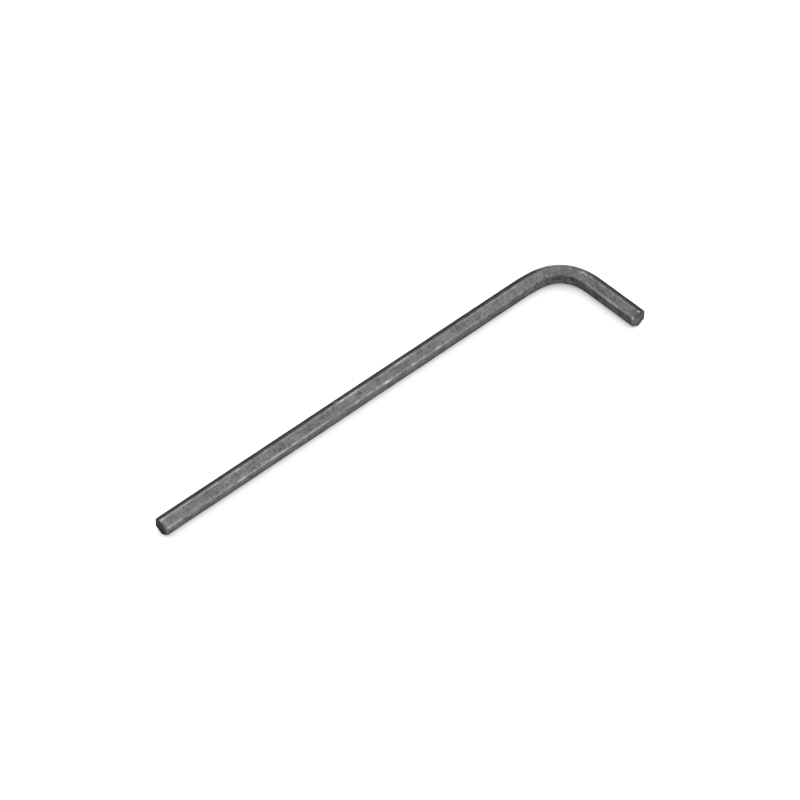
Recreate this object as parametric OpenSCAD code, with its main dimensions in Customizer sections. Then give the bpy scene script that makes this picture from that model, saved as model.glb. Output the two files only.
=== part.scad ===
// Hex key: an L-shaped wrench bent from one length of hexagonal steel bar.
// It lies with the plane of the bend level, resting on the bar's lowest corner.
// The origin is on the surface it lies on, under the middle of its outline.
// The long arm points to -X and the short arm to -Y.

/* [Bar] */
// Width across the flats, which is the size of the screw socket it fits
across_flats = 3.175; // [2:0.005:6]
// Radius that rounds the bar's six long corners
corner_radius = 0.28; // [0.05:0.01:0.5]

/* [Arms] */
// Overall length of the long arm, from its tip to the outside of the short arm
long_arm = 97.6; // [60:0.1:160]
// Overall length of the short arm, from its tip to the outside of the long arm
short_arm = 21.4; // [20:0.1:45]

/* [Bend] */
// Radius of the main curve of the bend, at the middle of the bar
bend_radius = 6.6; // [5:0.1:12]
// Radius of the easing between the short arm and the main curve
short_sweep_radius = 11; // [8:0.5:16]
// Angle that the easing beside the short arm turns through
short_sweep_angle = 14.5; // [1:0.5:20]
// Radius of the slight sweep between the main curve and the long arm
long_sweep_radius = 30; // [15:1:60]
// Angle that the sweep beside the long arm turns through
long_sweep_angle = 9; // [1:0.5:15]

/* [Ends] */
// Width of the bevel that breaks the edges of each end face
end_break = 0.1; // [0.02:0.01:0.4]

/* [Hidden] */
$fn = 96;

steel = [0.2, 0.2, 0.205];
flats = 6;
turn = 360 / flats;
right_angle = 90;

half_flats = across_flats / 2;
// Distance from the bar's middle to the centre of a corner's rounding
corner_reach = (half_flats - corner_radius) / cos(turn / 2);
half_corners = corner_reach + corner_radius;

// The bend's three curves, from the short arm to the long arm
radii = [short_sweep_radius, bend_radius, long_sweep_radius];
headings = [0, short_sweep_angle, right_angle - long_sweep_angle, right_angle];

// Centre of curve k, seen from where the short arm runs into the bend
function curve_centre(k) =
    k == 0
    ? [-radii[0], 0, 0]
    : curve_centre(k - 1)
        + (radii[k - 1] - radii[k]) * [cos(headings[k]), sin(headings[k]), 0];

// Where the bend runs into the long arm
bend_end = curve_centre(2) + [0, radii[2], 0];

short_straight = short_arm - half_flats - bend_end[1];
long_straight = long_arm - half_flats + bend_end[0];

// How far a cutter stands clear of the bar that it cuts
clearance = 1;
// Sliver by which each rounding stands past its flats, so that they join in one clean edge
blend = 0.0001;
// The coarser of the two steps that place a curve
step = 0.001;

// Direction of corner k, counted round from the corner that points straight up
function corner_angle(k) = right_angle + k * turn;

// Middle of the rounding at corner k
function corner_centre(k) = corner_reach * [cos(corner_angle(k)), sin(corner_angle(k))];

// Point where a rounding runs into the flat that lies on one side of its corner
function rounding_end(k, side) =
    let (a = corner_angle(k) + side * turn / 2)
    corner_centre(k) + corner_radius * [cos(a), sin(a)];

// Moves a piece in a coarse step and a fine one, which keeps every digit of the
// place, so that curves that run into one another meet face to face
module place(at) {
    coarse = [for (v = at) step * round(v / step)];
    translate(coarse)
        translate(at - coarse)
            children();
}

// Cross-section of the bar, with a corner up and flats to the left and right
module bar_section() {
    polygon([
        for (k = [0 : flats - 1], side = [-1, 1])
            rounding_end(k, side)
    ]);
    for (k = [0 : flats - 1])
        translate(corner_centre(k))
            circle(corner_radius + blend);
}

// Wedge that takes the edge off one flat at the end of a straight arm
module edge_cutter(length) {
    rotate([right_angle, 0, 0])
        linear_extrude(2 * half_corners, center = true)
            polygon([
                [half_flats - end_break - clearance, length + clearance],
                [half_flats + clearance, length + clearance],
                [half_flats + clearance, length - end_break - clearance]
            ]);
}

// Straight arm that starts at the bend and ends in a square cut with broken edges
module arm(length) {
    difference() {
        linear_extrude(length)
            bar_section();
        for (k = [0 : flats - 1])
            rotate([0, 0, k * turn])
                edge_cutter(length);
    }
}

// The bend: three curves of the bar that run smoothly into one another
module bend() {
    for (k = [0 : len(radii) - 1])
        place(curve_centre(k))
            rotate_extrude(start = headings[k], angle = headings[k + 1] - headings[k])
                translate([radii[k], 0])
                    bar_section();
}

// The whole key, one piece of bar from the short arm's tip to the long arm's
module hex_key() {
    color(steel)
        translate([
            long_arm / 2 - half_flats,
            short_straight - short_arm / 2,
            half_corners
        ]) {
            rotate([right_angle, 0, 0])
                arm(short_straight);
            bend();
            place(bend_end)
                rotate([right_angle, 0, -right_angle])
                    arm(long_straight);
        }
}

hex_key();
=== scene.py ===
"""Hex key: the finished look of one bent piece of hexagonal steel bar, black from its
oxide bath and rubbed bright along its corners, lying on a pale studio floor."""
import math

import bmesh
import bpy
from bpy.props import FloatProperty, FloatVectorProperty, PointerProperty
from mathutils import Matrix, Vector, noise


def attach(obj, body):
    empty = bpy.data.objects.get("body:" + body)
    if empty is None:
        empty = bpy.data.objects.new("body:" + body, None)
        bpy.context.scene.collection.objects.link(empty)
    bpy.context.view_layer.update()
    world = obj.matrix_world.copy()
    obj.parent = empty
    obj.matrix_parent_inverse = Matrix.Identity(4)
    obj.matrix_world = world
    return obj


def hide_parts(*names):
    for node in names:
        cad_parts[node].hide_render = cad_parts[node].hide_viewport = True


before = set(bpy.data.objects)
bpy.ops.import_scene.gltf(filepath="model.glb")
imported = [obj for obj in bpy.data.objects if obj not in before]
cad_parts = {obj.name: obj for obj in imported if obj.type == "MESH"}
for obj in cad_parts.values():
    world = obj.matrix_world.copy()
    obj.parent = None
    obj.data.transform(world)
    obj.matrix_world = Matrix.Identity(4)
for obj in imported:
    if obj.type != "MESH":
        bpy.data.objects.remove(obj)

bl_info = {
    "name": "Hex Key",
    "version": (1, 0, 0),
    "blender": (4, 5, 0),
    "location": "3D View > Sidebar > Hex Key",
    "description": "Models a worn black hex key with its finish, floor, lamps and camera",
    "category": "Object",
}

MM = 0.001
FLATS = 6
TURN = 2 * math.pi / FLATS

# The bar's node in the frame, which the made bar hides
NODE = "hex_key"

# How finely the bar is divided: lengthwise, along each flat and round each corner
RING_SPACING = 0.2 * MM
FLAT_PARTS = 9
CORNER_PARTS = 7
END_RINGS = 7

# What counts as equal: two lengths, and two angles
SAME_LENGTH = 1e-7
SAME_ANGLE = 1e-6

# How far along the bar one curve eases into the next, when it sets the painted sheen, wrinkles and
# squeeze
CURVE_EASE = 1.2 * MM

# Edges that turn by more than this are shaded crisp
CRISP_ANGLE = math.radians(28)

# Which of the bar's materials its cut ends have
END_MATERIAL = 1

# Attributes of the bar's mesh. RUN holds, in millimetres, how far along the bar a point is
# from the short arm's tip, how far outward from its middle line, and how far above it.
RUN = "bar_run"
# How far the oxide is rubbed off, with the painted sheen on the bend added in, from 0 to 1
WEAR_AND_SHEEN = "bar_wear_and_painted_sheen"
# How much painted shade darkens a place's oxide colour, from 0 to 1
PAINTED_SHADE = "bar_painted_shade"


# Sizes and colours


class KeySizes(bpy.types.PropertyGroup):
    """Sizes of the bar and its bend"""

    across_flats: FloatProperty(
        name="Across flats", description="Width of the hexagonal bar across its flats",
        default=3.175 * MM, min=2 * MM, max=6 * MM, precision=5, unit="LENGTH")
    corner_radius: FloatProperty(
        name="Corner radius", description="Radius that rounds the bar's six long corners",
        default=0.28 * MM, min=0.05 * MM, max=0.5 * MM, precision=5, unit="LENGTH")
    long_arm: FloatProperty(
        name="Long arm",
        description="Length from the long arm's tip to the outside of the short arm",
        default=97.6 * MM, min=60 * MM, max=160 * MM, precision=5, unit="LENGTH")
    short_arm: FloatProperty(
        name="Short arm",
        description="Length from the short arm's tip to the outside of the long arm",
        default=21.4 * MM, min=20 * MM, max=45 * MM, precision=5, unit="LENGTH")
    bend_radius: FloatProperty(
        name="Bend radius", description="Radius of the main curve of the bend, at the bar's middle",
        default=6.6 * MM, min=5 * MM, max=12 * MM, precision=5, unit="LENGTH")
    short_sweep_radius: FloatProperty(
        name="Short sweep radius", description="Radius of the easing beside the short arm",
        default=11 * MM, min=8 * MM, max=16 * MM, precision=5, unit="LENGTH")
    short_sweep_angle: FloatProperty(
        name="Short sweep angle", description="Angle of the easing beside the short arm",
        default=math.radians(14.5), min=math.radians(1), max=math.radians(20), subtype="ANGLE")
    long_sweep_radius: FloatProperty(
        name="Long sweep radius", description="Radius of the slight sweep beside the long arm",
        default=30 * MM, min=15 * MM, max=60 * MM, precision=5, unit="LENGTH")
    long_sweep_angle: FloatProperty(
        name="Long sweep angle", description="Angle of the slight sweep beside the long arm",
        default=math.radians(9), min=math.radians(1), max=math.radians(15), subtype="ANGLE")
    end_break: FloatProperty(
        name="End break", description="Width of the bevel round each end face",
        default=0.1 * MM, min=0.02 * MM, max=0.4 * MM, precision=5, unit="LENGTH")
    bend_squeeze: FloatProperty(
        name="Bend squeeze",
        description="How far bending thickens the inside and thins the outside",
        default=0.45, min=0, max=0.6, subtype="FACTOR")


class KeyFinish(bpy.types.PropertyGroup):
    """Colours and wear of the steel"""

    oxide: FloatVectorProperty(
        name="Oxide", description="Colour of the black oxide on the bar's sides",
        default=(0.122, 0.122, 0.123), min=0, max=1, size=3, subtype="COLOR")
    end_oxide: FloatVectorProperty(
        name="End oxide", description="Colour of the oxide on the two cut ends",
        default=(0.105, 0.098, 0.093), min=0, max=1, size=3, subtype="COLOR")
    bare_steel: FloatVectorProperty(
        name="Bare steel", description="Colour of the steel where the oxide is rubbed off",
        default=(0.58, 0.57, 0.55), min=0, max=1, size=3, subtype="COLOR")
    green_tint: FloatVectorProperty(
        name="Green tint", description="Cast of the oxide where it leans to green",
        default=(0.985, 1.005, 0.965), min=0, max=2, size=3, subtype="COLOR")
    purple_tint: FloatVectorProperty(
        name="Purple tint", description="Cast of the oxide where it leans to purple",
        default=(1.03, 0.985, 1.015), min=0, max=2, size=3, subtype="COLOR")
    grazing_tint: FloatVectorProperty(
        name="Grazing tint", description="How dull the rough oxide is when seen at a shallow angle",
        default=(0.37, 0.37, 0.37), min=0, max=1, size=3, subtype="COLOR")
    roughness: FloatProperty(
        name="Roughness", description="Roughness of the satin oxide",
        default=0.36, min=0.05, max=1, subtype="FACTOR")
    ridge_wear: FloatProperty(
        name="Ridge wear", description="How much of the oxide is rubbed off the long corners",
        default=0.8, min=0, max=1, subtype="FACTOR")


class StageSettings(bpy.types.PropertyGroup):
    """Floor, lamps and camera"""

    floor_size: FloatProperty(
        name="Floor size", description="Width of the square floor",
        default=16, min=1, max=50, unit="LENGTH")
    floor_color: FloatVectorProperty(
        name="Floor", description="Colour of the pale floor",
        default=(0.8, 0.8, 0.8), min=0, max=1, size=3, subtype="COLOR")
    floor_glow: FloatProperty(
        name="Floor glow",
        description="How much whiter the floor looks near the key than its lamps alone make it",
        default=0.36, min=0, max=1, subtype="FACTOR")
    room_color: FloatVectorProperty(
        name="Room", description="Colour of the room round the floor",
        default=(0.5, 0.5, 0.5), min=0, max=1, size=3, subtype="COLOR")
    room_shade: FloatVectorProperty(
        name="Room shade", description="Colour of the unlit side of the room, behind the key",
        default=(0.03, 0.03, 0.03), min=0, max=1, size=3, subtype="COLOR")
    top_light: FloatProperty(
        name="Top light", description="Brightness of the large softbox above the key",
        default=1.12, min=0, max=10)
    side_light: FloatProperty(
        name="Side light", description="Brightness of the softbox beside the key",
        default=2.2, min=0, max=10)
    camera_azimuth: FloatProperty(
        name="Camera azimuth", description="Turn of the camera round the key, from the front",
        default=math.radians(-43.50554), subtype="ANGLE")
    camera_elevation: FloatProperty(
        name="Camera elevation", description="Height of the camera above the floor, as an angle",
        default=math.radians(45.83533), subtype="ANGLE")
    camera_roll: FloatProperty(
        name="Camera roll", description="Turn of the camera about its own line of sight",
        default=math.radians(0.53038), subtype="ANGLE")
    camera_distance: FloatProperty(
        name="Camera distance", description="Distance from the camera to the point that it aims at",
        default=0.895283, unit="LENGTH")
    camera_aim: FloatVectorProperty(
        name="Camera aim", description="Point at the middle of the picture",
        default=(0.01379699, 0.01588013, -0.01578558), size=3, precision=5, subtype="XYZ_LENGTH")
    camera_lens: FloatProperty(
        name="Camera lens", description="Focal length in millimetres on a 36 mm wide sensor",
        default=222.76835, unit="CAMERA")


# The bar's path


class BarPath:
    """The middle line of the bar, from the short arm's tip to the long arm's: a straight,
    three curves that run into one another, and a straight."""

    def __init__(self, sizes):
        half_flats = sizes.across_flats / 2
        corner_reach = (half_flats - sizes.corner_radius) / math.cos(TURN / 2)
        self.half_corners = corner_reach + sizes.corner_radius
        main_angle = math.pi / 2 - sizes.short_sweep_angle - sizes.long_sweep_angle
        curves = (
            (sizes.short_sweep_radius, sizes.short_sweep_angle),
            (sizes.bend_radius, main_angle),
            (sizes.long_sweep_radius, sizes.long_sweep_angle),
        )

        # The curves, from a start at the origin: centre, radius, first heading, angle
        point = Vector((0, 0, 0))
        heading = 0.0
        self.curves = []
        for radius, angle in curves:
            outward = Vector((math.cos(heading), math.sin(heading), 0))
            centre = point - radius * outward
            self.curves.append([centre, radius, heading, angle])
            heading += angle
            point = centre + radius * Vector((math.cos(heading), math.sin(heading), 0))

        self.short_straight = sizes.short_arm - half_flats - point.y
        self.long_straight = sizes.long_arm - half_flats + point.x

        # The bend starts here, so that the whole key is centred over the origin
        start = Vector((
            sizes.long_arm / 2 - half_flats,
            self.short_straight - sizes.short_arm / 2,
            self.half_corners,
        ))
        for curve in self.curves:
            curve[0] = curve[0] + start
        self.start = start
        self.end = start + point
        self.length = (
            self.short_straight + self.long_straight
            + sum(radius * angle for _, radius, _, angle in self.curves)
        )

    def place(self, co):
        """How far along the bar a point is, and how far outward from and above its middle line."""
        above = co.z - self.half_corners
        if co.y <= self.start.y and co.x > self.end.x:
            return Vector((co.y - self.start.y + self.short_straight, co.x - self.start.x, above))
        along = self.short_straight
        for centre, radius, heading, angle in self.curves:
            away = co - centre
            turned = math.atan2(away.y, away.x) - heading
            if turned <= angle + SAME_ANGLE and co.x > self.end.x - SAME_LENGTH:
                outward = math.hypot(away.x, away.y) - radius
                return Vector((along + radius * max(turned, 0.0), outward, above))
            along += radius * angle
        return Vector((along + self.end.x - co.x, co.y - self.end.y, above))

    def curvature(self, along):
        """How sharply the bar bends at a place, per metre, eased from one curve to the next."""
        total = 0.0
        first = self.short_straight
        for _, radius, _, angle in self.curves:
            last = first + radius * angle
            inside = step_up(along, first, CURVE_EASE) - step_up(along, last, CURVE_EASE)
            total += inside / radius
            first = last
        return total

    def outward(self, along):
        """Level direction that points out of the bend at a place along the bar."""
        heading = 0.0
        first = self.short_straight
        for _, radius, start, angle in self.curves:
            if along > first:
                heading = start + min((along - first) / radius, angle)
            first += radius * angle
        return Vector((math.cos(heading), math.sin(heading), 0))


def held(value, most=1.0):
    """The value, held between 0 and most."""
    return min(max(value, 0.0), most)


def step_up(value, at, ease):
    """Rises smoothly from 0 to 1 as value passes at."""
    part = held((value - at) / (2 * ease) + 0.5)
    return part * part * (3 - 2 * part)


def bell(value, middle, width):
    """Rises smoothly to 1 at the middle and falls off on both sides of it."""
    return math.exp(-((value - middle) / width) ** 2)


# The bar's mesh


def section_loop(bm, sizes):
    """Edges of the bar's cross-section, upright at the origin with a corner straight up."""
    made = bmesh.ops.create_circle(
        bm, cap_ends=True, segments=FLATS, radius=sizes.across_flats / math.sqrt(3))
    bmesh.ops.bevel(
        bm, geom=made["verts"], offset=sizes.corner_radius * math.tan(TURN / 2),
        offset_type="OFFSET", affect="VERTICES", segments=CORNER_PARTS, profile=0.5,
        material=-1)
    # The parts of a rounded corner are far shorter than a flat
    flats = [e for e in bm.edges if e.calc_length() > sizes.across_flats / 5]
    bmesh.ops.subdivide_edges(bm, edges=flats, cuts=FLAT_PARTS - 1)
    bmesh.ops.delete(bm, geom=bm.faces[:], context="FACES_ONLY")
    bmesh.ops.rotate(
        bm, cent=(0, 0, 0), matrix=Matrix.Rotation(math.pi / 2, 3, "X"), verts=bm.verts[:])
    return bm.edges[:]


def loop_verts(edges):
    """The vertices of some edges, each once."""
    return list({v for e in edges for v in e.verts})


def run_straight(bm, edges, way):
    """Extends the bar's open end by way, and divides that length into rings."""
    made = bmesh.ops.extrude_edge_only(bm, edges=edges)["geom"]
    faces = [g for g in made if isinstance(g, bmesh.types.BMFace)]
    last = [g for g in made if isinstance(g, bmesh.types.BMEdge)]
    last = [e for e in last if len(e.link_faces) == 1]
    bmesh.ops.translate(bm, vec=way, verts=loop_verts(last))
    rings = max(2, round(way.length / RING_SPACING))
    crossing = {e for f in faces for e in f.edges} - set(edges) - set(last)
    bmesh.ops.subdivide_edges(bm, edges=list(crossing), cuts=rings - 1)
    return last


def run_curve(bm, edges, centre, radius, angle):
    """Extends the bar's open end round a curve."""
    made = bmesh.ops.spin(
        bm, geom=loop_verts(edges) + edges, cent=centre, axis=(0, 0, 1), dvec=(0, 0, 0),
        angle=angle, steps=max(2, round(radius * angle / RING_SPACING)),
        use_merge=False, use_normal_flip=False, use_duplicate=False)["geom_last"]
    return [g for g in made if isinstance(g, bmesh.types.BMEdge)]


def close_end(bm, edges, sizes):
    """Closes an open end with a broken edge and a face of narrowing rings."""
    cap = bmesh.ops.contextual_create(bm, geom=edges)["faces"][0]
    cap.material_index = END_MATERIAL
    cap.normal_update()
    middle = sum((v.co for v in cap.verts), Vector()) / len(cap.verts)
    # The new face has to look away from the middle of the key
    if cap.normal.dot(middle - Vector((0, 0, middle.z))) < 0:
        cap.normal_flip()
    bmesh.ops.inset_region(
        bm, faces=[cap], thickness=sizes.end_break, depth=sizes.end_break,
        use_even_offset=True, use_boundary=True)
    middle += cap.normal * sizes.end_break
    for ring in range(END_RINGS, 0, -1):
        made = bmesh.ops.extrude_face_region(bm, geom=[cap])["geom"]
        bmesh.ops.delete(bm, geom=[cap], context="FACES_ONLY")
        cap = next(g for g in made if isinstance(g, bmesh.types.BMFace))
        bmesh.ops.scale(
            bm, vec=[ring / (ring + 1)] * 3, space=Matrix.Translation(-middle), verts=cap.verts)


def make_bar_mesh(sizes):
    """The bent bar as one closed skin, with its wear in the shape."""
    path = BarPath(sizes)
    bm = bmesh.new()
    edges = section_loop(bm, sizes)
    tip = path.start - Vector((0, path.short_straight - sizes.end_break, 0))
    bmesh.ops.translate(bm, vec=tip, verts=bm.verts[:])
    first = edges
    edges = run_straight(bm, edges, path.start - tip)
    for centre, radius, _, angle in path.curves:
        edges = run_curve(bm, edges, centre, radius, angle)
    edges = run_straight(bm, edges, Vector((sizes.end_break - path.long_straight, 0, 0)))
    close_end(bm, first, sizes)
    close_end(bm, edges, sizes)
    bmesh.ops.remove_doubles(bm, verts=bm.verts[:], dist=SAME_LENGTH)
    bmesh.ops.recalc_face_normals(bm, faces=bm.faces[:])
    mark_and_wear(bm, path, sizes)
    return bm


# The bar's wear, its painted shade and the painted sheen on its bend, in millimetres. A point's
# place is s along the bar from the short arm's tip, u outward from its middle line and w above
# it. A place along the bar that is negative is counted from the long arm's tip.

# Long corners, counted round the section from the top one, the inside of the bend first
TOP, TOP_INSIDE = 0, 1

# Bright rubs on the long corners: corner, place along the bar, half length and strength
RUBS = (
    (TOP, -0.3, 0.4, 0.9),
    (TOP, -5.5, 1.2, 0.35),
    (TOP, -12.4, 0.8, 0.5),
    (TOP, -17.4, 0.6, 0.5),
    (TOP, -24.2, 0.4, 0.5),
    (TOP, -39.3, 0.7, 0.25),
    (TOP, -42.0, 0.7, 1.0),
    (TOP, -44.4, 1.5, 0.7),
    (TOP, -56.5, 2.0, 0.5),
    (TOP_INSIDE, -17.3, 0.8, 0.6),
    (TOP_INSIDE, -25.5, 1.8, 0.45),
    (TOP_INSIDE, -29.5, 0.4, 0.4),
    (TOP_INSIDE, -44.3, 0.5, 0.4),
    (TOP_INSIDE, -51.7, 0.8, 0.8),
    (TOP_INSIDE, -58.0, 0.35, 0.4),
    (TOP_INSIDE, -64.2, 0.8, 0.35),
    (TOP, 14.0, 0.4, 0.6),
    (TOP, 12.2, 0.3, 0.4),
    (TOP_INSIDE, 7.0, 7.0, 0.22),
    (TOP, 0.2, 0.16, 0.9),
    (TOP_INSIDE, 0.2, 0.16, 0.9),
)

# How far from its middle the rub on a long corner reaches
RUB_REACH = 0.34

# Bright rubs on the cut ends: place along the bar, outward, above, half width and strength
END_RUBS = (
    (-0.01, 0.1, 1.6, 0.38, 0.9),
    (-0.01, -0.45, 1.3, 0.36, 0.3),
    (-0.01, -1.05, 0.95, 0.4, 0.36),
    (-0.01, -1.35, 0.3, 0.25, 0.15),
    (0.01, 0.0, 1.62, 0.18, 0.6),
    (0.01, -1.4, 0.8, 0.18, 0.6),
    (0.01, -0.6, -0.2, 0.9, 0.12),
)

# How far along the bar the rubs on the cut ends reach
END_RUB_DEPTH = 0.12

# Bright knocks on the flats: place along the bar, outward, above, half length and half width
KNOCKS = (
    (-41.2, 0.5, 1.5, 0.35, 0.35),
    (-62.0, -0.9, 1.2, 0.3, 0.1),
    (13.3, -0.15, 1.7, 0.3, 0.12),
    (14.3, -0.3, 1.6, 0.25, 0.1),
    (-0.3, -1.5, 0.85, 0.13, 0.13),
    (-0.85, -1.4, 0.98, 0.18, 0.12),
    (-0.45, -0.9, 1.25, 0.13, 0.12),
    (-0.7, -1.55, 0.4, 0.13, 0.12),
)

# How bright the middle of a rub on a long corner and of a knock is
FULL_RUB = 1.2
KNOCK_RUB = 0.7

# How much oxide a long corner has lost: all along, in its rubbed patches and near the long tip
EVEN_RUB = 0.16
PATCH_RUB = 0.5
TIP_RUB = 0.12

# Painted sheen on the outside of the bend, laid on as bright steel, and how much oxide the handled
# inside flat has lost
PAINTED_APEX_SHEEN = 0.55
THUMB_RUB = 0.04

# The sharpest bend that doesn't stretch the bar, as a share of the main curve's
UNSTRETCHED = 0.4

# How far in from a tip its cut face and its broken edge end, and the worn sides start
FACE_DEPTH = 0.001
END_DEPTH = 0.11
SIDES_START = 0.12

# How far wear and pressing lower the skin: the rounded corners all along and in their rubbed
# patches, the flats, and the wrinkles on the inside of the bend
CORNER_LOWERED = 0.004
PATCH_LOWERED = 0.02
FLAT_LOWERED = 0.003
WRINKLE_DEPTH = 0.012

# How far a cut face stands back from its rim, and how rough it is
CUT_SET_BACK = 0.02
CUT_ROUGH = 0.012


def near_bend(s):
    """How near a place is to the long arm's side of the bend, from 0 to 1."""
    return bell(s, 28, 16)


def in_bend(s):
    """How near a place is to the tightest part of the bend, from 0 to 1."""
    return bell(s, 18, 4)


def inside_flat(u):
    """How far a place is on the upright flat inside the bend, from 0 to 1."""
    return step_up(-u, 1.35, 0.15)


def bump_at(s, place, half, length):
    """Rises to 1 at a place along the bar and falls off on both sides of it."""
    return bell(s, place + length if place < 0 else place, half)


def rub_angle(k, s):
    """Where round the section the rub on long corner k lies. On the two corners beside the
    upper inside flat it leans away from that flat, and near the bend toward it."""
    lean = 0
    if k == TOP:
        lean = 6 * near_bend(s) - 3.5
    elif k == TOP_INSIDE:
        lean = 5 - 9.5 * held((95 - s) / 62)
    return math.pi / 2 + k * TURN + math.radians(lean)


def rub_strength(k, s):
    """How strong the rub on long corner k is. It is faint in and beside the bend."""
    if k == TOP_INSIDE:
        return 0.75 - 0.7 * bell(s, 33, 22)
    strength = 0.95 - 0.45 * near_bend(s)
    if k == TOP:
        strength -= 0.5 * in_bend(s)
    return strength


def rub_closeness(s, u, w, half_corners):
    """How near a point is to the middle of a long corner's rub, from 0 to 1, and which corner
    it is."""
    k = round((math.atan2(w, u) - math.pi / 2) / TURN) % FLATS
    angle = rub_angle(k, s)
    distance = math.hypot(
        u - half_corners * math.cos(angle), w - half_corners * math.sin(angle))
    return held(1 - distance / RUB_REACH), k


def corner_patch(k, s):
    """How hard long corner k is rubbed at a place: long patches, broken into short runs."""
    patch = held(0.45 + 1.2 * noise.noise(Vector((s * 0.2, k * 5.3, 1.7))))
    return patch * held(0.6 + 1.3 * noise.noise(Vector((s * 1.1, k * 3.1, 9.2))), 1.3)


def corner_rub(k, s, closeness, patch, length):
    """How much oxide the rub on long corner k has taken."""
    even = EVEN_RUB + PATCH_RUB * patch + TIP_RUB * step_up(s, 90, 15)
    rub = closeness * even * rub_strength(k, s)
    for corner, place, half, strength in RUBS:
        if corner == k:
            rub += FULL_RUB * closeness * strength * bump_at(s, place, half, length)
    return rub


def spot_rub(s, u, w, length):
    """How much oxide the knocks on the flats and the rubs on the cut ends have taken."""
    rub = 0.0
    for place, outward, above, half, width in KNOCKS:
        off = math.hypot(u - outward, w - above)
        if off < 3 * width:
            rub += KNOCK_RUB * bump_at(s, place, half, length) * bell(off, 0, width)
    for place, outward, above, width, strength in END_RUBS:
        off = math.hypot(u - outward, w - above)
        rub += strength * bump_at(s, place, END_RUB_DEPTH, length) * bell(off, 0, width)
    return rub


def painted_apex_sheen(s, u, w, stretch):
    """Painted sheen on the outside of the bend, most of it on top: bright steel laid on to lighten
    it.
    """
    if stretch <= 0 or u <= 0:
        return 0.0
    on_top = 0.22 + 0.78 * step_up(w, 0.8, 0.25)
    uneven = 0.7 + noise.noise(Vector((s * 0.9, u * 1.4, w * 1.4)))
    return PAINTED_APEX_SHEEN * stretch * min(1.0, u) * on_top * uneven


def painted_shade_at(s, u, w, from_end):
    """How much painted shade darkens a place, from 0 to 1, in uneven blotches: the short arm's
    inside flat, the lower rims of the inside flats, the far edge of the upper flats, the whole
    short arm a little, the low parts of both cut ends and the far part of the long arm's.
    """
    blotch = 0.85 + 0.5 * noise.noise(Vector((s * 0.5, u * 0.8 + 3.1, w * 0.8)))
    if from_end < END_DEPTH:
        if s < 1:
            return blotch * 0.7 * step_up(-w, 1.2, 0.3)
        return blotch * max(0.8 * step_up(u, -0.7, 0.9), step_up(-w, 0.9, 0.5))
    short_side = 1 - step_up(s, 22.0, 4.0)
    low_rim = step_up(-w, 0.45, 0.25)
    far_rim = step_up(u, 0.9, 0.6) if w > 0 else 0.0
    mottled = 1 + 1.6 * in_bend(s) * noise.noise(Vector((s * 1.3, 3.3, w * 1.5)))
    inner = inside_flat(u) * mottled * max(0.62 * short_side, low_rim)
    return blotch * max(inner, 0.8 * far_rim, 0.17 * short_side)


def side_lowered(s, u, w, closeness, patch, stretch):
    """How far wear and the pressed, wrinkled inside of the bend lower a place on the sides."""
    ripple = noise.noise(Vector((s * 0.6, u * 1.5, w * 1.5)))
    lowered = closeness * (CORNER_LOWERED + PATCH_LOWERED * max(0.0, patch - 0.35))
    lowered += FLAT_LOWERED * (1 + ripple)
    if u < -1.2 and stretch > 0:
        lowered += WRINKLE_DEPTH * stretch * (1 + math.sin(s * 7.5 + 2 * ripple + w))
    return lowered


def mark_and_wear(bm, path, sizes):
    """Writes the bar's attributes, and moves its skin for the squeeze of the bend and for wear."""
    run = bm.verts.layers.float_vector.new(RUN)
    wear_and_sheen = bm.verts.layers.float.new(WEAR_AND_SHEEN)
    painted_shade_layer = bm.verts.layers.float.new(PAINTED_SHADE)
    half_corners = path.half_corners / MM
    length = path.length / MM
    for v in bm.verts:
        along, outward, above = path.place(v.co)
        v[run] = Vector((along, outward, above)) / MM
        s, u, w = along / MM, outward / MM, above / MM
        from_end = min(along, path.length - along) / MM
        curvature = path.curvature(along)
        stretch = max(0.0, curvature * sizes.bend_radius - UNSTRETCHED) / (1 - UNSTRETCHED)
        closeness, k = rub_closeness(s, u, w, half_corners)
        patch = corner_patch(k, s)

        # The rubs and knocks are wear; the sheen on the outside of the bend is painted
        rub = (
            corner_rub(k, s, closeness, patch, length)
            + spot_rub(s, u, w, length)
            + painted_apex_sheen(s, u, w, stretch)
            + THUMB_RUB * step_up(s, 32, 8) * inside_flat(u)
        )
        v[wear_and_sheen] = min(1.0, rub)
        # Painted shade, laid into the oxide's colour where the bar lies in shade
        v[painted_shade_layer] = painted_shade_at(s, u, w, from_end)

        # Bending thickens the bar on the inside and thins it on the outside
        squeeze = sizes.bend_squeeze * outward * curvature
        v.co.z = path.half_corners + above * (1 - squeeze)
        if from_end > SIDES_START:
            inward = -(path.outward(along) * u + Vector((0, 0, w)))
            inward.normalize()
            v.co += inward * side_lowered(s, u, w, closeness, patch, stretch) * MM
        elif from_end < FACE_DEPTH:
            rough = noise.noise(Vector((u * 2.2, w * 2.2, s)))
            into_bar = Vector((0, 1, 0)) if s < 1 else Vector((1, 0, 0))
            v.co += (CUT_SET_BACK + CUT_ROUGH * rough) * MM * into_bar


def keep_mesh(bm, name, materials):
    """A finished piece from a bmesh, with smooth faces and crisp edges."""
    mesh = bpy.data.meshes.new(name)
    bm.to_mesh(mesh)
    bm.free()
    piece = bpy.data.objects.new(name, mesh)
    bpy.context.scene.collection.objects.link(piece)
    for material in materials:
        mesh.materials.append(material)
    mesh.shade_smooth()
    mesh.set_sharp_from_angle(angle=CRISP_ANGLE)
    return piece


# Finishes

SIDES = "black_oxide_sides"
ENDS = "black_oxide_ends"

# How much smoother and rougher than its middle value the oxide gets in places, and how much
# rougher the cut ends are than the sides
ROUGH_SPREAD = 0.06
ENDS_ROUGHER = 0.06


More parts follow.
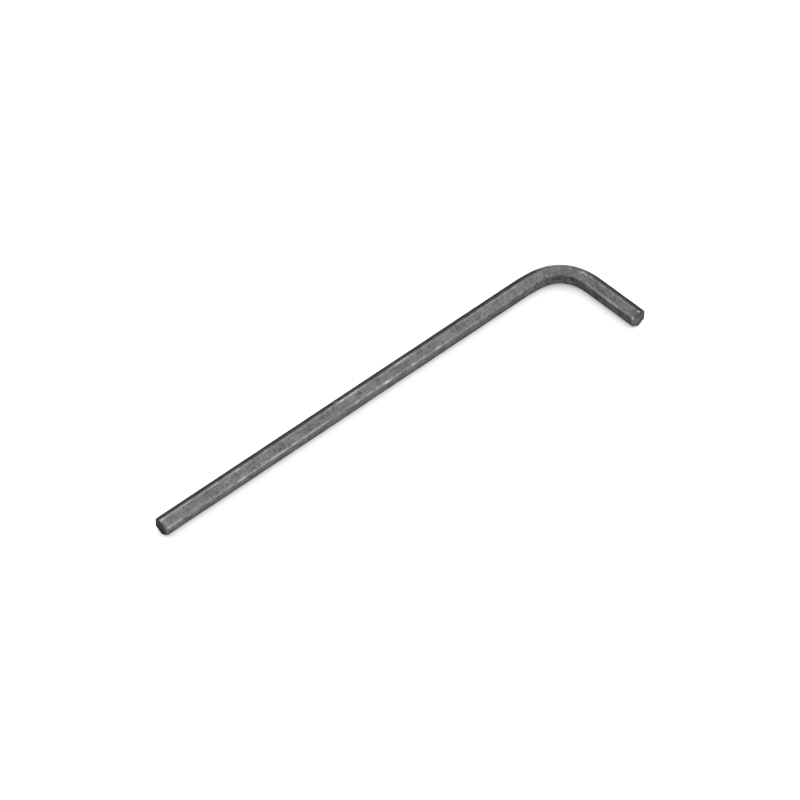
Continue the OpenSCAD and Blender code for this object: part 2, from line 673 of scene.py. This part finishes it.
def new_group(name, inputs, outputs):
    """An empty shader node group: sockets are (name, type, default)."""
    tree = bpy.data.node_groups.new(name, "ShaderNodeTree")
    for label, kind, default in inputs:
        socket = tree.interface.new_socket(label, in_out="INPUT", socket_type=kind)
        if default is not None:
            socket.default_value = default
    for label, kind in outputs:
        tree.interface.new_socket(label, in_out="OUTPUT", socket_type=kind)
    return tree, tree.nodes.new("NodeGroupInput"), tree.nodes.new("NodeGroupOutput")


def math_node(tree, operation, a, b=None, clamp=False):
    """A Math node. Each input is a number or a socket."""
    node = tree.nodes.new("ShaderNodeMath")
    node.operation = operation
    node.use_clamp = clamp
    for socket, value in zip(node.inputs, (a, b)):
        if isinstance(value, bpy.types.NodeSocket):
            tree.links.new(value, socket)
        elif value is not None:
            socket.default_value = value
    return node.outputs[0]


def noise_node(tree, vector, scale, detail=3.0, stretch=(1, 1, 1), offset=(0, 0, 0)):
    """A Noise Texture's value. The scale is per millimetre, because the bar's own places are in
    millimetres. A stretch below 1 draws the pattern out along that direction."""
    place = tree.nodes.new("ShaderNodeMapping")
    place.inputs["Scale"].default_value = stretch
    place.inputs["Location"].default_value = offset
    tree.links.new(vector, place.inputs["Vector"])
    texture = tree.nodes.new("ShaderNodeTexNoise")
    texture.inputs["Scale"].default_value = scale
    texture.inputs["Detail"].default_value = detail
    tree.links.new(place.outputs[0], texture.inputs["Vector"])
    return texture.outputs["Fac"]


def map_node(tree, value, low, high, to_low, to_high):
    """Maps a value from one range to another, and holds it there."""
    node = tree.nodes.new("ShaderNodeMapRange")
    node.inputs["From Min"].default_value = low
    node.inputs["From Max"].default_value = high
    for socket, end in ((node.inputs["To Min"], to_low), (node.inputs["To Max"], to_high)):
        if isinstance(end, bpy.types.NodeSocket):
            tree.links.new(end, socket)
        else:
            socket.default_value = end
    tree.links.new(value, node.inputs["Value"])
    return node.outputs["Result"]


def mix_node(tree, factor, a, b, blend="MIX"):
    """Mixes two colours. Each is a socket or a colour."""
    node = tree.nodes.new("ShaderNodeMix")
    node.data_type = "RGBA"
    node.blend_type = blend
    # The colour inputs A and B have the same names as the other kinds of input
    sockets = (node.inputs["Factor"], node.inputs[6], node.inputs[7])
    for socket, value in zip(sockets, (factor, a, b)):
        if isinstance(value, bpy.types.NodeSocket):
            tree.links.new(value, socket)
        elif isinstance(value, (int, float)):
            socket.default_value = value
        else:
            socket.default_value = (*value[:3], 1)
    return node.outputs[2]


def make_satin_group():
    """Fine grain, drawing lines and soft blotches of an oxide skin."""
    tree, start, end = new_group(
        "satin_skin",
        (("Vector", "NodeSocketVector", None), ("Lines", "NodeSocketFloat", 0.5)),
        (("Tone", "NodeSocketFloat"), ("Height", "NodeSocketFloat")))
    vector = start.outputs["Vector"]
    grain = noise_node(tree, vector, scale=2.3, detail=5)
    lines = noise_node(tree, vector, scale=5.0, detail=2, stretch=(0.06, 1, 1))
    blotches = noise_node(tree, vector, scale=0.55, detail=3, offset=(4, 2, 7))
    centred = math_node(tree, "SUBTRACT", lines, 0.5)
    lined = math_node(tree, "MULTIPLY", centred, start.outputs["Lines"])
    tone = math_node(tree, "ADD", math_node(tree, "MULTIPLY", grain, 0.6), lined)
    tone = math_node(tree, "ADD", tone, math_node(tree, "MULTIPLY", blotches, 0.4))
    tree.links.new(tone, end.inputs["Tone"])
    height = math_node(tree, "ADD", grain, lined)
    tree.links.new(height, end.inputs["Height"])
    return tree


def make_cast_group():
    """An oxide's colour: a slow change between a green and a purple cast, lighter and darker
    with the skin's tone, and darker where painted shade is laid on."""
    tree, start, end = new_group(
        "oxide_cast",
        (("Vector", "NodeSocketVector", None), ("Color", "NodeSocketColor", (1, 1, 1, 1)),
         ("Green", "NodeSocketColor", (1, 1, 1, 1)), ("Purple", "NodeSocketColor", (1, 1, 1, 1)),
         ("Tone", "NodeSocketFloat", 0.5), ("Painted shade", "NodeSocketFloat", 0.0)),
        (("Color", "NodeSocketColor"),))
    drift = noise_node(tree, start.outputs["Vector"], scale=0.16, detail=2, stretch=(1, 2, 2))
    drift = map_node(tree, drift, 0.35, 0.65, 0, 1)
    cast = mix_node(tree, drift, start.outputs["Green"], start.outputs["Purple"])
    color = mix_node(tree, 1.0, start.outputs["Color"], cast, "MULTIPLY")
    shade = map_node(tree, start.outputs["Tone"], 0.3, 0.7, 0.45, 1.55)
    # Painted shade darkens the colour, down to a quarter at full strength
    painted_shade_factor = map_node(tree, start.outputs["Painted shade"], 0, 1, 1, 0.25)
    shade = math_node(tree, "MULTIPLY", shade, painted_shade_factor)
    scaled = tree.nodes.new("ShaderNodeVectorMath")
    scaled.operation = "SCALE"
    tree.links.new(color, scaled.inputs[0])
    tree.links.new(shade, scaled.inputs["Scale"])
    tree.links.new(scaled.outputs[0], end.inputs["Color"])
    return tree


def make_wear_group():
    """Where bright steel shows: the rubbed places and the painted sheen on the bend, broken up into
    streaks and specks.
    """
    tree, start, end = new_group(
        "rubbed_bright",
        (("Vector", "NodeSocketVector", None), ("Brightened", "NodeSocketFloat", 0.0),
         ("Amount", "NodeSocketFloat", 0.5)),
        (("Mask", "NodeSocketFloat"),))
    vector = start.outputs["Vector"]
    streaks = noise_node(tree, vector, scale=2.4, detail=4, stretch=(0.35, 1, 1))
    streaks = math_node(tree, "ADD", streaks, 0.45)
    broken = math_node(tree, "MULTIPLY", start.outputs["Brightened"], streaks)
    mask = math_node(tree, "MULTIPLY", broken, start.outputs["Amount"], clamp=True)
    tree.links.new(mask, end.inputs["Mask"])
    return tree


def group_node(tree, group, values):
    """Places a node group. Values are sockets, numbers or colours by input name."""
    node = tree.nodes.new("ShaderNodeGroup")
    node.node_tree = group
    for name, value in values.items():
        socket = node.inputs[name]
        if isinstance(value, bpy.types.NodeSocket):
            tree.links.new(value, socket)
        elif isinstance(value, (int, float)):
            socket.default_value = value
        else:
            socket.default_value = (*value[:3], 1)
    return node


def attribute(tree, name, output):
    """What the mesh keeps under a name, as a colour, a vector or a number."""
    node = tree.nodes.new("ShaderNodeAttribute")
    node.attribute_name = name
    return node.outputs[output]


def new_material(name):
    """An empty material, its node tree and its shader."""
    material = bpy.data.materials.new(name)
    material.use_nodes = True
    tree = material.node_tree
    return material, tree, tree.nodes["Principled BSDF"]


def make_steel(name, groups, finish, oxide, lines, bump, rough):
    """Satin oxide over steel: one finish for the bar's sides and one for its cut ends."""
    satin, cast, wear = groups
    material, tree, shader = new_material(name)
    run = attribute(tree, RUN, "Vector")
    skin = group_node(tree, satin, {"Vector": run, "Lines": lines})
    # The oxide's colour carries the painted shade
    color = group_node(tree, cast, {
        "Vector": run, "Color": oxide, "Green": finish.green_tint, "Purple": finish.purple_tint,
        "Tone": skin.outputs["Tone"], "Painted shade": attribute(tree, PAINTED_SHADE, "Fac")})
    wear_and_sheen = attribute(tree, WEAR_AND_SHEEN, "Fac")
    bare = group_node(tree, wear, {"Vector": run, "Brightened": wear_and_sheen, "Amount": finish.ridge_wear})
    tree.links.new(
        mix_node(tree, bare.outputs["Mask"], color.outputs["Color"], finish.bare_steel),
        shader.inputs["Base Color"])
    shader.inputs["Metallic"].default_value = 1.0
    # Rubbed steel and the painted sheen on the bend stay bright at a shallow angle, where the rough
    # oxide is dull
    shining = math_node(tree, "MULTIPLY", wear_and_sheen, finish.ridge_wear, clamp=True)
    tree.links.new(
        mix_node(tree, shining, finish.grazing_tint, (1, 1, 1)), shader.inputs["Specular Tint"])
    roughness = map_node(
        tree, skin.outputs["Tone"], 0.3, 0.7, rough + ROUGH_SPREAD, rough - ROUGH_SPREAD)
    tree.links.new(roughness, shader.inputs["Roughness"])
    relief = tree.nodes.new("ShaderNodeBump")
    relief.inputs["Strength"].default_value = 1.0
    relief.inputs["Distance"].default_value = bump
    tree.links.new(skin.outputs["Height"], relief.inputs["Height"])
    tree.links.new(relief.outputs["Normal"], shader.inputs["Normal"])
    return material


class HEXKEY_OT_make_finishes(bpy.types.Operator):
    """Make the oxide finishes of the bar's sides and its cut ends"""

    bl_idname = "hexkey.make_finishes"
    bl_label = "Make Finishes"

    def execute(self, context):
        finish = context.scene.hexkey_finish
        groups = (make_satin_group(), make_cast_group(), make_wear_group())
        make_steel(
            SIDES, groups, finish, finish.oxide, lines=0.2, bump=0.006 * MM,
            rough=finish.roughness)
        make_steel(
            ENDS, groups, finish, finish.end_oxide, lines=0.0, bump=0.02 * MM,
            rough=finish.roughness + ENDS_ROUGHER)
        return {"FINISHED"}


class HEXKEY_OT_make_bar(bpy.types.Operator):
    """Make the bent hexagonal bar"""

    bl_idname = "hexkey.make_bar"
    bl_label = "Make Bar"

    def execute(self, context):
        bm = make_bar_mesh(context.scene.hexkey_sizes)
        materials = [bpy.data.materials[SIDES], bpy.data.materials[ENDS]]
        bar = keep_mesh(bm, "bent_bar", materials)
        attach(bar, "root")
        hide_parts(NODE)
        return {"FINISHED"}


# Stage

# How far from the key the lamps' light on the floor begins to fade, and has faded, in metres
LAMPS_FADE = (1.0, 2.5)

# How far the dark part of the room lies below the level of the key, as a slope, and the
# cosines of the angles from its middle where it begins and where it is at its darkest
ROOM_SLOPE = -0.36
ROOM_DARKENS = (0.5, 0.85)

# Width of the camera's sensor in millimetres
SENSOR_WIDTH = 36


def make_floor(settings):
    """A pale floor. To the camera and in reflections it looks whiter than its lamps make it,
    most of all far from the lamps, and it keeps the key's shadow."""
    material, tree, shader = new_material("pale_floor")
    shader.inputs["Base Color"].default_value = (*settings.floor_color, 1)
    shader.inputs["Roughness"].default_value = 0.9
    shader.inputs["Specular IOR Level"].default_value = 0.0
    path = tree.nodes.new("ShaderNodeLightPath")
    seen = math_node(tree, "MAXIMUM", path.outputs["Is Camera Ray"], path.outputs["Is Glossy Ray"])
    seen = math_node(tree, "MAXIMUM", seen, path.outputs["Is Transmission Ray"])
    place = tree.nodes.new("ShaderNodeTexCoord")
    away = tree.nodes.new("ShaderNodeVectorMath")
    away.operation = "LENGTH"
    tree.links.new(place.outputs["Object"], away.inputs[0])
    whiter = map_node(tree, away.outputs["Value"], *LAMPS_FADE, settings.floor_glow, 1)
    glow = math_node(tree, "MULTIPLY", seen, whiter)
    shader.inputs["Emission Color"].default_value = (1, 1, 1, 1)
    tree.links.new(glow, shader.inputs["Emission Strength"])
    bm = bmesh.new()
    bmesh.ops.create_grid(bm, x_segments=2, y_segments=2, size=settings.floor_size / 2)
    floor = keep_mesh(bm, "floor", [material])


def make_room(scene, settings):
    """Plain light from the room, which is dark low down behind the key."""
    world = bpy.data.worlds.new("room")
    world.use_nodes = True
    scene.world = world
    tree = world.node_tree
    azimuth = settings.camera_azimuth
    back = Vector((-math.sin(azimuth), math.cos(azimuth), ROOM_SLOPE)).normalized()
    place = tree.nodes.new("ShaderNodeTexCoord")
    toward = tree.nodes.new("ShaderNodeVectorMath")
    toward.operation = "DOT_PRODUCT"
    toward.inputs[1].default_value = back
    tree.links.new(place.outputs["Generated"], toward.inputs[0])
    shade = map_node(tree, toward.outputs["Value"], *ROOM_DARKENS, 0, 1)
    color = mix_node(tree, shade, settings.room_color, settings.room_shade)
    tree.links.new(color, tree.nodes["Background"].inputs["Color"])


def make_softbox(scene, name, size, place, brightness):
    """A square lamp that faces the key. Its brightness is that of its own surface."""
    light = bpy.data.lights.new(name, "AREA")
    light.shape = "SQUARE"
    light.size = size
    light.energy = brightness * math.pi * size * size
    lamp = bpy.data.objects.new(name, light)
    lamp.location = place
    lamp.rotation_euler = (-Vector(place)).to_track_quat("-Z", "Y").to_euler()
    scene.collection.objects.link(lamp)


def make_camera(scene, settings):
    """The camera that takes the picture from the photograph's angle."""
    azimuth, elevation = settings.camera_azimuth, settings.camera_elevation
    back = Vector((
        math.sin(azimuth) * math.cos(elevation),
        -math.cos(azimuth) * math.cos(elevation),
        math.sin(elevation),
    ))
    right = Vector((math.cos(azimuth), math.sin(azimuth), 0))
    level = Matrix((right, back.cross(right), back)).transposed()
    turn = level @ Matrix.Rotation(settings.camera_roll, 3, "Z")
    data = bpy.data.cameras.new("camera")
    data.sensor_width = SENSOR_WIDTH
    data.lens = settings.camera_lens
    data.clip_start = 0.01
    data.clip_end = 100
    camera = bpy.data.objects.new("camera", data)
    camera.matrix_world = Matrix.Translation(
        Vector(settings.camera_aim) + back * settings.camera_distance) @ turn.to_4x4()
    scene.collection.objects.link(camera)
    scene.camera = camera


class HEXKEY_OT_make_stage(bpy.types.Operator):
    """Make the floor, the room's light, the softboxes and the camera"""

    bl_idname = "hexkey.make_stage"
    bl_label = "Make Stage"

    def execute(self, context):
        scene = context.scene
        settings = scene.hexkey_stage
        scene.view_settings.view_transform = "Standard"
        make_floor(settings)
        make_room(scene, settings)
        make_softbox(
            scene, "top_softbox", size=1.9, place=(0.2, 0.15, 0.7),
            brightness=settings.top_light)
        make_softbox(
            scene, "side_softbox", size=0.6, place=(0.65, -0.72, 0.36),
            brightness=settings.side_light)
        make_camera(scene, settings)
        return {"FINISHED"}


class HEXKEY_PT_sidebar(bpy.types.Panel):
    """Steps and settings of the hex key"""

    bl_idname = "HEXKEY_PT_sidebar"
    bl_label = "Hex Key"
    bl_space_type = "VIEW_3D"
    bl_region_type = "UI"
    bl_category = "Hex Key"

    def draw(self, context):
        layout = self.layout
        for operator in OPERATORS:
            layout.operator(operator.bl_idname)
        for group in (
                context.scene.hexkey_sizes, context.scene.hexkey_finish,
                context.scene.hexkey_stage):
            box = layout.box()
            for name in group.__annotations__:
                box.prop(group, name)


OPERATORS = (HEXKEY_OT_make_finishes, HEXKEY_OT_make_bar, HEXKEY_OT_make_stage)
CLASSES = (KeySizes, KeyFinish, StageSettings, *OPERATORS, HEXKEY_PT_sidebar)


def register():
    for cls in CLASSES:
        bpy.utils.register_class(cls)
    bpy.types.Scene.hexkey_sizes = PointerProperty(type=KeySizes)
    bpy.types.Scene.hexkey_finish = PointerProperty(type=KeyFinish)
    bpy.types.Scene.hexkey_stage = PointerProperty(type=StageSettings)


def unregister():
    del bpy.types.Scene.hexkey_stage
    del bpy.types.Scene.hexkey_finish
    del bpy.types.Scene.hexkey_sizes
    for cls in reversed(CLASSES):
        bpy.utils.unregister_class(cls)


def main():
    """Runs every step in order."""
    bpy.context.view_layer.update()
    register()
    bpy.ops.hexkey.make_finishes()
    bpy.ops.hexkey.make_bar()
    bpy.ops.hexkey.make_stage()


if __name__ == "__main__":
    main()
